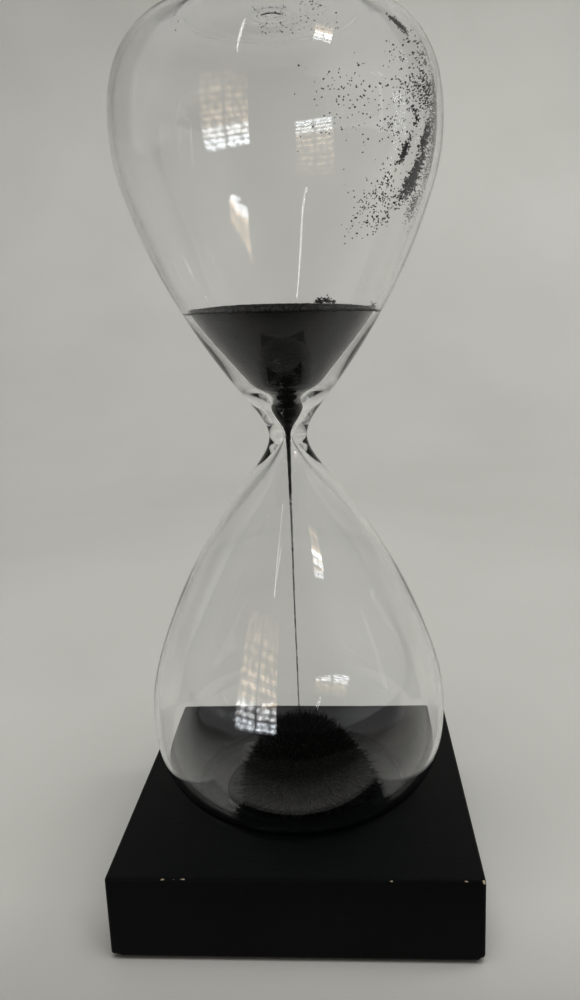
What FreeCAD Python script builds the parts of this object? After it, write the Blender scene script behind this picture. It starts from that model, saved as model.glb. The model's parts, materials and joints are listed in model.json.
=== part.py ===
import FreeCAD, Part
import math
import os
import random

# Iron-filings sand timer on a magnetic wooden base, in millimetres.
# The origin is the centre of the base's underside and +Z is up. The timer's axis is the Z axis.

V = FreeCAD.Vector
UP = V(0, 0, 1)
TURN = 360.0

# Wooden base
BASE_SIDE = 80.0
BLOCK_THICKNESS = 19.0
BLOCK_EDGE = 0.6
FELT_THICKNESS = 0.8
FELT_SIDE = 76.0
FELT_CORNER = 2.5
SEAT_RADIUS = 26.2
SEAT_DEPTH = 2.4
SEAT_EDGE = 0.5

# Magnet and its pocket, bored from the underside
SEAT_WEB = 2.0
POCKET_RADIUS = 15.2
MAGNET_RADIUS = 15.0
MAGNET_THICKNESS = 6.0
PLUG_RADIUS = 15.1

# Glass, as radius and height above the neck plane. Both bulbs are the same.
HALF_LENGTH = 90.1
WALL = 1.2
END_WALL = 1.6
END_FLAT_RADIUS = 19.2
PUNT_RADIUS = 14.0
PUNT_DEPTH = 0.7
NECK_HALF = 6.0
OUTER_POINTS = (
    (4.4, 0.0),
    (5.5, 3.6),
    (8.7, 8.1),
    (14.7, 16.0),
    (21.2, 26.0),
    (27.8, 38.5),
    (32.6, 50.5),
    (35.1, 60.0),
    (35.5, 67.5),
    (34.4, 76.0),
    (31.2, 82.6),
    (25.8, 87.3),
    (END_FLAT_RADIUS, HALF_LENGTH),
)
# The inside of the neck has a shoulder in the upper bulb and runs straighter in the lower one.
UPPER_THROAT_POINTS = (
    (0.75, 0.0),
    (0.85, 1.2),
    (1.35, 2.5),
    (2.4, 4.4),
    (3.3, 6.6),
    (3.8, 8.3),
    (4.8, 9.35),
    (6.6, 10.15),
    (8.4, 11.35),
    (10.15, 13.1),
)
LOWER_THROAT_POINTS = (
    (0.75, 0.0),
    (1.5, 2.5),
    (2.7, 4.8),
    (4.4, 7.4),
    (7.0, 10.4),
    (10.0, 13.6),
)
# From this outer point to the last but one, the inside follows the outside at the wall's thickness. The lower
# bulb's wall thickens over its last two points into a heavy foot.
THIN_WALL_FROM = 4
UPPER_WALLS = (WALL,) * (len(OUTER_POINTS) - 1 - THIN_WALL_FROM)
LOWER_WALLS = UPPER_WALLS[:-2] + (1.4, 2.0)
INNER_END_RADIUS = 18.4

# Seal of the hole that the timer is filled through
SEAL_RADIUS = 4.4
SEAL_CROWN = 0.5

# Filings
FILINGS_GAP = 0.12
THROAT_TOP = 9.2
BED_RIM = 28.1
BED_CROWN = 29.2
BED_REACH = 24.0
# middle of each clump on the bed and how large it is
BED_CLUMPS = (
    (8.6, 1.5, 2.2),
    (9.6, 0.2, 1.7),
    (7.9, 3.0, 1.4),
    (18.8, -1.0, 1.9),
    (17.9, 1.2, 1.2),
)
CLUMP_REST = 0.4
STREAM_TOP_RADIUS = 0.5
STREAM_FOOT_RADIUS = 0.22
MOUND_CENTRE = (0.8, -1.2)
MOUND_LIFT = 0.15
CORE_POINTS = (
    (15.2, 0.0),
    (14.6, 2.6),
    (12.0, 6.8),
    (10.2, 11.4),
    (6.4, 14.6),
    (0.0, 15.6),
)
SPIKE_ROOT = 0.6
SHORTEST_SPIKE = 0.75
SPIKE_TAPER = 6.0
GOLDEN_ANGLE = math.pi * (3.0 - math.sqrt(5.0))
STREAM_CLEARANCE = 0.4

# Spikes round the mound: how many, between which shares of the core's outline (0 at the foot, 1 at the crown),
# greatest length, width at the root, least upward lean, and the seed of their lengths
CROWN_SPIKES = (60, (0.62, 0.99), 2.8, 1.5, 0.2, 11)
FLANK_SPIKES = (90, (0.2, 0.62), 2.6, 1.4, 0.1, 12)
FOOT_SPIKES = (48, (0.07, 0.16), 3.0, 1.3, 0.05, 13)

# Grains on the glass: how many, least, greatest and commonest height above the neck plane, the same for the
# azimuth in degrees, least and greatest size, and the seed of their places
CLINGING_PATCH = (70, (40, 80, 62), (-38, 20, 0), (0.6, 1.3), 1)
CLINGING_SPECKS = (36, (36, 82, 66), (-75, 40, -30), (0.4, 0.7), 2)
LOWER_SPECKS = (6, (40, 80, 60), (60, 140, 100), (0.4, 0.6), 3)
GRAIN_SINK = 0.35

# Grains under the upper end: how many, their range across, their range in depth, their sizes and their seed
END_SPECKS = (14, (1, 14), (-9, 6), (0.5, 0.9), 5)
END_SINK = 0.55

# A grain is a chip with three corners round its foot and a peak, as shares of its size
GRAIN_FOOT = -0.3
GRAIN_PEAK = 0.5
GRAIN_REACH = (0.4, 0.6)
GRAIN_SKEW = 20.0
CLUMP_SEED = 8

BLOCK_TOP = FELT_THICKNESS + BLOCK_THICKNESS
SEAT_FLOOR = BLOCK_TOP - SEAT_DEPTH
NECK_Z = SEAT_FLOOR + HALF_LENGTH
POCKET_TOP = SEAT_FLOOR - SEAT_WEB
GLASS_FLOOR = SEAT_FLOOR + END_WALL


def save(shape, node):
    shape.exportStep(os.path.join("parts", node + ".step"))
    print(node, "volume", round(shape.Volume, 1), "solids", len(shape.Solids), "valid", shape.isValid())


def disc(radius, low, high):
    return Part.makeCylinder(radius, high - low, V(0, 0, low))


def square_plate(side, corner, low, high):
    """A square plate about the Z axis, with its upright corners rounded."""
    plate = Part.makeBox(side, side, high - low, V(-side / 2, -side / 2, low))
    upright = [e for e in plate.Edges if abs(e.tangentAt(e.FirstParameter).z) > 0.5]
    return plate.makeFillet(corner, upright)


def revolved(edges):
    """The solid that a closed outline in the XZ plane sweeps about the Z axis."""
    outline = Part.Wire(Part.__sortEdges__(edges))
    return Part.Face(outline).revolve(V(0, 0, 0), UP, TURN)


def line(start, end):
    return Part.makeLine(V(start[0], 0, start[1]), V(end[0], 0, end[1]))


def dome(radius, edge_height, centre_height):
    """A shallow parabola from an edge to the axis, where it is level."""
    curve = Part.BezierCurve()
    curve.setPoles([V(radius, 0, edge_height), V(radius / 2, 0, centre_height), V(0, 0, centre_height)])
    return curve.toShape()


def spline(points):
    """A smooth curve through points of radius and height."""
    curve = Part.BSplineCurve()
    curve.interpolate([V(r, 0, z) for r, z in points])
    return curve


def both_ways(points):
    """The points and their mirror images below the neck plane, from the lowest up."""
    return [(r, -z) for r, z in reversed(points[1:])] + list(points)


def outer_curve():
    return spline(both_ways(OUTER_POINTS))


def inside_points(throat, walls, gap):
    """Points of radius and height along the inside of one bulb, from the neck plane to its flat end."""
    outside = outer_curve()
    points = [(r - gap, z) for r, z in throat]
    for (r, z), wall in zip(OUTER_POINTS[THIN_WALL_FROM:-1], walls):
        along = outside.tangent(outside.parameter(V(r, 0, z)))[0]
        points.append((r - (wall + gap) * along.z, z + (wall + gap) * along.x))
    points.append((INNER_END_RADIUS, HALF_LENGTH - END_WALL - gap))
    return points


def inner_curve(gap):
    """The inside of both bulbs from one flat end to the other, drawn in by gap."""
    upper = inside_points(UPPER_THROAT_POINTS, UPPER_WALLS, gap)
    lower = inside_points(LOWER_THROAT_POINTS, LOWER_WALLS, gap)
    return spline([(r, -z) for r, z in reversed(lower[1:])] + upper)


def end_edges(sign):
    """One flat end with its shallow punt outside, from the outer curve to the inner one."""
    outside = sign * HALF_LENGTH
    inside = sign * (HALF_LENGTH - END_WALL)
    punt_top = sign * (HALF_LENGTH - PUNT_DEPTH)
    return [
        line((END_FLAT_RADIUS, outside), (PUNT_RADIUS, outside)),
        dome(PUNT_RADIUS, outside, punt_top),
        line((0, punt_top), (0, inside)),
        line((0, inside), (INNER_END_RADIUS, inside)),
    ]


def timer_glass():
    """All the glass but the seal, as one solid with the neck plane at the origin."""
    walls = [outer_curve().toShape(), inner_curve(0).toShape()]
    return revolved(walls + end_edges(1) + end_edges(-1))


def turned_over(shape):
    """The same shape below the neck plane."""
    shape.rotate(V(0, 0, 0), V(1, 0, 0), TURN / 2)
    return shape


def at_neck(shape):
    shape.translate(V(0, 0, NECK_Z))
    return shape


def fill_seal():
    """The glass button fused into the hole in the upper bulb's end."""
    inside = HALF_LENGTH - END_WALL
    edge_top = HALF_LENGTH - PUNT_DEPTH
    crown = edge_top + SEAL_CROWN
    edges = [
        line((0, inside), (SEAL_RADIUS, inside)),
        line((SEAL_RADIUS, inside), (SEAL_RADIUS, edge_top)),
        dome(SEAL_RADIUS, edge_top, crown),
        line((0, crown), (0, inside)),
    ]
    return revolved(edges)


def cavity():
    """The space inside the upper bulb, with the filings' small gap to the glass."""
    curve = inner_curve(FILINGS_GAP)
    end = curve.value(curve.LastParameter)
    edges = [
        line((0, -end.z), (end.x, -end.z)),
        curve.toShape(),
        line((end.x, end.z), (0, end.z)),
        line((0, end.z), (0, -end.z)),
    ]
    return revolved(edges).common(disc(BASE_SIDE, 0, HALF_LENGTH))


def upper_bed(space):
    """The filings still lying in the upper funnel, gently crowned on top."""
    edges = [
        line((0, THROAT_TOP), (BED_REACH, THROAT_TOP)),
        line((BED_REACH, THROAT_TOP), (BED_REACH, BED_RIM)),
        dome(BED_REACH, BED_RIM, BED_CROWN),
        line((0, BED_CROWN), (0, THROAT_TOP)),
    ]
    return space.common(revolved(edges))


def base_block():
    """The square block, with a round seat on top and a blind magnet pocket below."""
    low = V(-BASE_SIDE / 2, -BASE_SIDE / 2, FELT_THICKNESS)
    block = Part.makeBox(BASE_SIDE, BASE_SIDE, BLOCK_THICKNESS, low)
    block = block.makeChamfer(BLOCK_EDGE, block.Edges)
    block = block.cut(disc(SEAT_RADIUS, SEAT_FLOOR, BLOCK_TOP + 1))
    rim = Part.makeCone(SEAT_RADIUS, SEAT_RADIUS + SEAT_EDGE, SEAT_EDGE, V(0, 0, BLOCK_TOP - SEAT_EDGE))
    pocket = disc(POCKET_RADIUS, FELT_THICKNESS - 1, POCKET_TOP)
    return block.cut(rim).cut(pocket)


def lump(rng, size):
    """One irregular grain: a four-sided chip about the origin, size across."""
    corners = []
    foot = [(turn, GRAIN_FOOT) for turn in (0, TURN / 3, 2 * TURN / 3)]
    for turn, height in foot + [(rng.uniform(0, TURN), GRAIN_PEAK)]:
        reach = size * rng.uniform(*GRAIN_REACH)
        angle = math.radians(turn + rng.uniform(-GRAIN_SKEW, GRAIN_SKEW))
        corners.append(V(reach * math.cos(angle), reach * math.sin(angle), height * size))
    faces = []
    for skipped in range(len(corners)):
        ring = [c for i, c in enumerate(corners) if i != skipped]
        faces.append(Part.Face(Part.makePolygon(ring + ring[:1])))
    return Part.makeSolid(Part.makeShell(faces))


def placed_on(shape, point, normal):
    """Turns shape's +Z to normal and puts its origin at point."""
    shape.Placement = FreeCAD.Placement(point, FreeCAD.Rotation(UP, normal))
    return shape


def wall_place(curve, height, azimuth, sink):
    """A point on the inside of a bulb with the direction into the bulb, sink mm in from the glass."""
    low, high = curve.FirstParameter, curve.LastParameter
    for _ in range(40):
        middle = (low + high) / 2
        if curve.value(middle).z < height:
            low = middle
        else:
            high = middle
    point = curve.value(low)
    along = curve.tangent(low)[0]
    angle = math.radians(azimuth)
    inward = V(-along.z * math.cos(angle), -along.z * math.sin(angle), along.x)
    at = V(point.x * math.cos(angle), point.x * math.sin(angle), point.z)
    return at + inward * sink, inward


def wall_filings(count, heights, azimuths, sizes, seed):
    """Grains that cling to the inside of a bulb in one patch."""
    rng = random.Random(seed)
    curve = inner_curve(0)
    grains = []
    for _ in range(count):
        size = rng.uniform(*sizes)
        height = rng.triangular(*heights)
        azimuth = rng.triangular(*azimuths)
        point, inward = wall_place(curve, height, azimuth, GRAIN_SINK * size)
        grains.append(placed_on(lump(rng, size), point, inward))
    return Part.makeCompound(grains)


def end_filings():
    """Loose grains that cling under the upper bulb's flat end."""
    count, across, deep, sizes, seed = END_SPECKS
    rng = random.Random(seed)
    grains = []
    for _ in range(count):
        size = rng.uniform(*sizes)
        place = V(rng.uniform(*across), rng.uniform(*deep), HALF_LENGTH - END_WALL - END_SINK * size)
        grains.append(placed_on(lump(rng, size), place, -UP))
    return Part.makeCompound(grains)


def bed_clumps():
    """Small clumps that lie on the upper bed near its right-hand edge."""
    rng = random.Random(CLUMP_SEED)
    clumps = []
    for x, y, size in BED_CLUMPS:
        height = BED_CROWN - (BED_CROWN - BED_RIM) * (math.hypot(x, y) / BED_REACH) ** 2
        clumps.append(placed_on(lump(rng, size), V(x, y, height + CLUMP_REST * size), UP))
    return Part.makeCompound(clumps)


def core_curve():
    return spline(CORE_POINTS)


def mound_core():
    curve = core_curve()
    foot_radius = CORE_POINTS[0][0]
    edges = [
        line((0, 0), (foot_radius, 0)),
        curve.toShape(),
        line((0, CORE_POINTS[-1][1]), (0, 0)),
    ]
    return revolved(edges)


def spikes(count, shares, length, width, least_lean, seed):
    """Cones that stand out of the mound's core between two shares of its outline."""
    rng = random.Random(seed)
    curve = core_curve()
    span = curve.LastParameter - curve.FirstParameter
    cones = []
    for i in range(count):
        share = shares[0] + (shares[1] - shares[0]) * (i + 0.5) / count
        at = curve.FirstParameter + span * share
        point = curve.value(at)
        along = curve.tangent(at)[0]
        angle = i * GOLDEN_ANGLE
        out = V(along.z * math.cos(angle), along.z * math.sin(angle), max(-along.x, least_lean))
        out.normalize()
        root = V(point.x * math.cos(angle), point.x * math.sin(angle), point.z) - out * SPIKE_ROOT
        reach = SPIKE_ROOT + length * rng.uniform(SHORTEST_SPIKE, 1.0)
        cones.append(Part.makeCone(width / 2, width / 2 / SPIKE_TAPER, reach, root, out))
    return Part.makeCompound(cones)


def on_glass_floor(shape):
    shape.translate(V(MOUND_CENTRE[0], MOUND_CENTRE[1], GLASS_FLOOR + MOUND_LIFT))
    return shape


def main():
    os.makedirs("parts", exist_ok=True)

    save(base_block(), "base_block")
    save(disc(MAGNET_RADIUS, POCKET_TOP - MAGNET_THICKNESS, POCKET_TOP), "magnet_disc")
    save(disc(PLUG_RADIUS, FELT_THICKNESS, POCKET_TOP - MAGNET_THICKNESS), "pocket_plug")
    save(square_plate(FELT_SIDE, FELT_CORNER, 0, FELT_THICKNESS), "felt_pad")

    glass = timer_glass()
    fill_hole = disc(SEAL_RADIUS, HALF_LENGTH - 2 * END_WALL, HALF_LENGTH + 1)
    save(at_neck(glass.common(disc(BASE_SIDE, NECK_HALF, HALF_LENGTH)).cut(fill_hole)), "upper_bulb")
    save(at_neck(glass.common(disc(BASE_SIDE, -HALF_LENGTH, -NECK_HALF))), "lower_bulb")
    save(at_neck(glass.common(disc(BASE_SIDE, -NECK_HALF, NECK_HALF))), "glass_neck")
    save(at_neck(fill_seal()), "fill_seal")

    space = cavity()
    save(at_neck(upper_bed(space)), "filings_bed")
    save(at_neck(space.common(disc(BASE_SIDE, 0, THROAT_TOP))), "throat_filings")
    save(at_neck(bed_clumps()), "bed_clumps")
    save(at_neck(wall_filings(*CLINGING_PATCH)), "clinging_patch")
    save(at_neck(wall_filings(*CLINGING_SPECKS)), "clinging_specks")
    save(at_neck(end_filings()), "end_specks")
    save(at_neck(turned_over(wall_filings(*LOWER_SPECKS))), "lower_specks")

    mound_top = GLASS_FLOOR + MOUND_LIFT + CORE_POINTS[-1][1]
    crown_length = CROWN_SPIKES[2]
    stream_foot = mound_top + crown_length + STREAM_CLEARANCE
    stream_height = NECK_Z - stream_foot
    stream = Part.makeCone(STREAM_FOOT_RADIUS, STREAM_TOP_RADIUS, stream_height, V(0, 0, stream_foot))
    save(stream, "filings_stream")
    save(on_glass_floor(mound_core()), "mound_core")
    save(on_glass_floor(spikes(*CROWN_SPIKES)), "crown_spikes")
    save(on_glass_floor(spikes(*FLANK_SPIKES)), "flank_spikes")
    save(on_glass_floor(spikes(*FOOT_SPIKES)), "foot_spikes")


main()
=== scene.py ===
import json
import math

import bpy
import numpy as np
from mathutils import Matrix, Vector, noise


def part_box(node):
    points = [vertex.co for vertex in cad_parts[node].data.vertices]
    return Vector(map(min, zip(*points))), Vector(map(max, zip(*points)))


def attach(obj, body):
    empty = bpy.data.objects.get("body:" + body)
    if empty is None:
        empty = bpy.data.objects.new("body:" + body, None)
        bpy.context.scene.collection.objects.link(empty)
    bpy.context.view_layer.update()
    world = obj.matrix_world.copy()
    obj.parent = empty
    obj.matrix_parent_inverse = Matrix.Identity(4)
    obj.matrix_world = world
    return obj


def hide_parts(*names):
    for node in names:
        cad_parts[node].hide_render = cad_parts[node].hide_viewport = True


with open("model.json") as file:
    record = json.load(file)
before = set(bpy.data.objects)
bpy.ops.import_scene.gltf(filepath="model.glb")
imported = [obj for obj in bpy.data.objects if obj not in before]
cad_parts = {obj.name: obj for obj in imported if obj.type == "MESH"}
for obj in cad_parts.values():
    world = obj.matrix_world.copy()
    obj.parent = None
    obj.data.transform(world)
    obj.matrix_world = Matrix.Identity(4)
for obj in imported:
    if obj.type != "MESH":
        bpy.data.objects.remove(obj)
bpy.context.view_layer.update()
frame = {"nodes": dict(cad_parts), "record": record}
MM = 0.001

# ---------------------------------------------------------------- levels, from the frame
BLOCK_LOW, BLOCK_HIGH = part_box("base_block")
NECK_LOW, NECK_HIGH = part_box("glass_neck")
GLASS_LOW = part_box("lower_bulb")[0].z
GLASS_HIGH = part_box("upper_bulb")[1].z
NECK_Z = (NECK_LOW.z + NECK_HIGH.z) / 2
HALF_LENGTH = (GLASS_HIGH - GLASS_LOW) / 2
HALF_SIDE = (BLOCK_HIGH.x - BLOCK_LOW.x) / 2
BLOCK_TOP = BLOCK_HIGH.z
SEAT_FLOOR = GLASS_LOW

# ---------------------------------------------------------------- camera
CAMERA_PLACE = Vector((0.0139, -0.1943, 0.1352))
CAMERA_HEADING = 4.137
CAMERA_TILT = 90.0 - 12.476
CAMERA_ROLL = -2.3
CAMERA_LENS = 30.45

# ---------------------------------------------------------------- glass, in mm from the neck plane
WALL = 1.2
END_WALL = 1.6
OUTER_POINTS = (
    (4.4, 0.0),
    (5.5, 3.6),
    (8.7, 8.1),
    (14.7, 16.0),
    (21.2, 26.0),
    (27.8, 38.5),
    (32.6, 50.5),
    (35.1, 60.0),
    (35.5, 67.5),
    (34.4, 76.0),
    (31.2, 82.6),
    (25.8, 87.3),
    (19.2, 90.1),
)
THROAT_POINTS = (
    (0.75, 0.0),
    (0.85, 1.2),
    (1.35, 2.5),
    (2.4, 4.4),
    (3.3, 6.4),
    (4.1, 8.0),
    (5.3, 9.3),
    (6.8, 10.6),
    (8.5, 12.1),
    (10.3, 14.0),
)
LOWER_THROAT_POINTS = (
    (0.75, 0.0),
    (1.5, 2.5),
    (2.7, 4.8),
    (4.4, 7.4),
    (7.0, 10.4),
    (10.0, 13.6),
)
THIN_WALL_FROM = 4
UPPER_WALLS = (WALL,) * (len(OUTER_POINTS) - 1 - THIN_WALL_FROM)
LOWER_WALLS = UPPER_WALLS[:-2] + (1.3, 1.5)
INNER_END_RADIUS = 18.4
PUNT_RADIUS = 14.0
PUNT_DEPTH = 0.12
SEAL_RADIUS = 3.0
SEAL_RISE = 0.1
GROOVE_DEPTH = 0.15
GROOVE_HALF_WIDTH = 0.5
SEAL_INSIDE_RADIUS = 3.6
SEAL_INSIDE_DROP = 0.35
END_RINGS = 20
GLASS_SEGMENTS = 192
GLASS_RINGS = 210

# ---------------------------------------------------------------- filings, in mm
GLASS_GAP = 0.16
BED_RIM = 28.1
BED_CROWN = 29.5
BED_SLOPE = 0.022
MOUND_FOOT_CENTRE = (1.9, -1.4)
MOUND_LEAN = (-1.8, 0.4)
MOUND_OUTLINE = (
    (13.2, 0.25),
    (14.4, 1.2),
    (14.2, 2.8),
    (12.6, 5.6),
    (11.2, 8.6),
    (9.8, 11.2),
    (8.6, 12.4),
    (6.6, 13.8),
    (3.6, 14.6),
    (0.0, 14.8),
)
MOUND_WIDEST = 15
POLE_DEPTH = 8.0


# ================================================================ small tools


def natural_spline(points, count, crowding=1.0):
    """count points along a smooth curve through points of radius and height. A crowding below 1 packs them
    closer at the middle of the curve."""
    p = np.array(points, float)
    t = np.concatenate([[0], np.cumsum(np.linalg.norm(np.diff(p, axis=0), axis=1))])
    n = len(p)
    h = np.diff(t)
    system = np.eye(n)
    right = np.zeros_like(p)
    for i in range(1, n - 1):
        system[i, i - 1 : i + 2] = h[i - 1], 2 * (h[i - 1] + h[i]), h[i]
        right[i] = 6 * ((p[i + 1] - p[i]) / h[i] - (p[i] - p[i - 1]) / h[i - 1])
    bend = np.linalg.solve(system, right)

    def at(u):
        i = np.clip(np.searchsorted(t, u, side="right") - 1, 0, n - 2)
        a = ((t[i + 1] - u) / h[i])[:, None]
        b = 1 - a
        push = ((a**3 - a) * bend[i] + (b**3 - b) * bend[i + 1]) * (h[i] ** 2)[:, None] / 6
        return a * p[i] + b * p[i + 1] + push

    fine = at(np.linspace(0, t[-1], 6000))
    run = np.concatenate([[0], np.cumsum(np.linalg.norm(np.diff(fine, axis=0), axis=1))])
    middle = np.linspace(-0.5, 0.5, count)
    even = run[-1] * (0.5 + middle * (crowding + 4 * (1 - crowding) * middle**2))
    return np.stack([np.interp(even, run, fine[:, k]) for k in (0, 1)], axis=1)


def both_ways(points):
    return [(r, -z) for r, z in reversed(points[1:])] + list(points)


def mesh_piece(name, verts, faces, smooth=True):
    mesh = bpy.data.meshes.new(name)
    mesh.from_pydata([tuple(v) for v in verts], [], [tuple(f) for f in faces])
    mesh.validate()
    mesh.update()
    if smooth:
        mesh.polygons.foreach_set("use_smooth", [True] * len(mesh.polygons))
    piece = bpy.data.objects.new(name, mesh)
    bpy.context.scene.collection.objects.link(piece)
    return piece


def lathe(outline, segments, first_vertex=0):
    """Vertices and faces of an outline of radius and height turned about Z. Its two ends lie on the axis.
    Going down the outline, the faces look outwards."""
    angles = np.linspace(0, 2 * math.pi, segments, endpoint=False)
    rings = outline[1:-1]
    verts = [(0, 0, outline[0][1])]
    for r, z in rings:
        verts.extend(zip(r * np.cos(angles), r * np.sin(angles), np.full(segments, z)))
    verts.append((0, 0, outline[-1][1]))
    faces = []
    last = len(verts) - 1
    for j in range(segments):
        k = (j + 1) % segments
        faces.append((0, 1 + j, 1 + k))
        for i in range(len(rings) - 1):
            a = 1 + i * segments
            b = a + segments
            faces.append((a + j, b + j, b + k, a + k))
        faces.append((last, last - segments + k, last - segments + j))
    return np.array(verts), [tuple(v + first_vertex for v in f) for f in faces]


def unit(vectors):
    return vectors / np.maximum(np.linalg.norm(vectors, axis=-1, keepdims=True), 1e-12)


def random_turns(rng, count):
    """count random rotation matrices."""
    q = unit(rng.normal(size=(count, 4)))
    w, x, y, z = q.T
    return np.stack(
        [
            np.stack([1 - 2 * (y * y + z * z), 2 * (x * y - z * w), 2 * (x * z + y * w)], -1),
            np.stack([2 * (x * y + z * w), 1 - 2 * (x * x + z * z), 2 * (y * z - x * w)], -1),
            np.stack([2 * (x * z - y * w), 2 * (y * z + x * w), 1 - 2 * (x * x + y * y)], -1),
        ],
        -2,
    )


GRAIN_CORNERS = np.array(
    [(0, 0, 0.62), (0.55, 0, -0.1), (-0.28, 0.5, -0.12), (-0.3, -0.48, -0.05), (0.02, 0.04, -0.5)]
)
GRAIN_FACES = np.array([(0, 1, 2), (0, 2, 3), (0, 3, 1), (4, 2, 1), (4, 3, 2), (4, 1, 3)])


def shade_by(piece, values):
    """Stores how light each vertex's iron is, from 0 to 1, for the filings' material."""
    shades = piece.data.attributes.new("shade", "FLOAT", "POINT")
    shades.data.foreach_set("value", np.asarray(values, np.float32))


def grains(name, places, sizes, rng, shade=(0.1, 0.9)):
    """One piece made of many small iron grains, each a jagged six-sided chip round a place in mm."""
    count = len(places)
    corners = GRAIN_CORNERS[None] * (1 + rng.uniform(-0.35, 0.35, (count, 5, 3)))
    flat = np.stack([np.ones(count), rng.uniform(0.6, 1, count), rng.uniform(0.6, 1, count)], -1)
    corners = np.einsum("nij,nkj->nki", random_turns(rng, count), corners * flat[:, None])
    verts = (places[:, None] + corners * np.asarray(sizes)[:, None, None]).reshape(-1, 3) * MM
    faces = (GRAIN_FACES[None] + 5 * np.arange(count)[:, None, None]).reshape(-1, 3)
    piece = mesh_piece(name, verts, faces, smooth=False)
    shade_by(piece, np.repeat(rng.uniform(*shade, count), 5))
    return piece


STRAND_SIDES = 3


def strands(name, roots, ways, lengths, widths, rng, rings=4, shade=(0.0, 1.0), curl=0.0, limit=None):
    """Many thin tapering strands of stacked iron grains, each a closed three-sided spike. roots, lengths and
    widths are in mm. curl bends a strand outwards along its length, and limit keeps its points in bounds."""
    count = len(roots)
    side = unit(np.cross(ways, rng.normal(size=(count, 3))))
    other = np.cross(ways, side)
    steps = np.linspace(0, 1, rings + 1)
    drop = np.stack([ways[:, 0], ways[:, 1], np.zeros(count)], 1) - (0, 0, 0.6)
    rows = []
    wander = np.zeros((count, 3))
    for k, step in enumerate(steps[:-1]):
        middle = roots + ways * (lengths * step)[:, None] + drop * (curl * lengths * step**2)[:, None] + wander
        thick = widths / 2 * (1 - 0.8 * step) * rng.uniform(0.7, 1.3, count)
        turn = rng.uniform(0, 0.9, count) + 0.4 * k
        for j in range(STRAND_SIDES):
            angle = turn + 2 * math.pi * j / STRAND_SIDES
            across = (np.cos(angle) * thick)[:, None] * side + (np.sin(angle) * thick)[:, None] * other
            rows.append(middle + across)
        wander = wander + rng.normal(size=(count, 3)) * (widths * 0.22)[:, None]
    rows.append(roots + ways * lengths[:, None] + drop * (curl * lengths)[:, None] + wander)
    verts = np.stack(rows, 1)
    if limit is not None:
        verts = limit(verts.reshape(-1, 3)).reshape(verts.shape)
    per = verts.shape[1]
    quads = []
    tris = [(2, 1, 0)]
    for k in range(rings - 1):
        a = k * STRAND_SIDES
        for j in range(STRAND_SIDES):
            n = (j + 1) % STRAND_SIDES
            quads.append((a + j, a + n, a + STRAND_SIDES + n, a + STRAND_SIDES + j))
    a = (rings - 1) * STRAND_SIDES
    tris.extend((a + j, a + (j + 1) % STRAND_SIDES, per - 1) for j in range(STRAND_SIDES))
    first = per * np.arange(count)
    faces = [tuple(f) for f in (np.array(quads)[None] + first[:, None, None]).reshape(-1, 4).tolist()]
    faces += [tuple(f) for f in (np.array(tris)[None] + first[:, None, None]).reshape(-1, 3).tolist()]
    piece = mesh_piece(name, verts.reshape(-1, 3) * MM, faces, smooth=False)
    # Each strand is painted darker towards its root and lighter towards its tip: painted shade where the strands
    # crowd at their roots.
    along = np.concatenate([np.repeat(steps[:-1], STRAND_SIDES), [1.0]])
    own = rng.uniform(*shade, count)
    shade_by(piece, (own[:, None] * (0.35 + 0.65 * along[None])).reshape(-1))
    return piece


# ================================================================ materials


def shader_nodes(name):
    material = bpy.data.materials.new(name)
    material.use_nodes = True
    tree = material.node_tree
    return material, tree, tree.nodes["Principled BSDF"]


def add(tree, kind, **settings):
    node = tree.nodes.new("ShaderNode" + kind)
    for key, value in settings.items():
        if key in node.inputs:
            node.inputs[key].default_value = value
        else:
            setattr(node, key, value)
    return node


def object_place(tree):
    return add(tree, "TexCoord").outputs["Object"]


def noise_at(tree, place, scale, detail=4.0, roughness=0.6):
    node = add(tree, "TexNoise", Scale=scale, Detail=detail, Roughness=roughness)
    tree.links.new(place, node.inputs["Vector"])
    return node.outputs["Fac"]


def ramp(tree, value, stops, stepped=False):
    node = add(tree, "ValToRGB")
    node.color_ramp.interpolation = "CONSTANT" if stepped else "LINEAR"
    elements = node.color_ramp.elements
    while len(elements) < len(stops):
        elements.new(0.5)
    for element, (position, colour) in zip(elements, stops):
        element.position = position
        element.color = (*colour, 1)
    tree.links.new(value, node.inputs["Fac"])
    return node.outputs["Color"]


def grey(level):
    return (level, level, level)


def blend(tree, kind, a, b):
    """Two colours taken together, as kind says: MULTIPLY or ADD."""
    node = add(tree, "Mix", data_type="RGBA", blend_type=kind)
    node.inputs[0].default_value = 1.0
    tree.links.new(a, node.inputs[6])
    tree.links.new(b, node.inputs[7])
    return node.outputs[2]


def bump(tree, height, distance, strength=1.0, under=None):
    node = add(tree, "Bump", Strength=strength, Distance=distance)
    tree.links.new(height, node.inputs["Height"])
    if under is not None:
        tree.links.new(under, node.inputs["Normal"])
    return node.outputs["Normal"]


def spread(tree, value, low, high):
    """value from 0 to 1 mapped to low to high."""
    node = add(tree, "MapRange")
    node.inputs["To Min"].default_value = low
    node.inputs["To Max"].default_value = high
    tree.links.new(value, node.inputs["Value"])
    return node.outputs["Result"]


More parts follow.
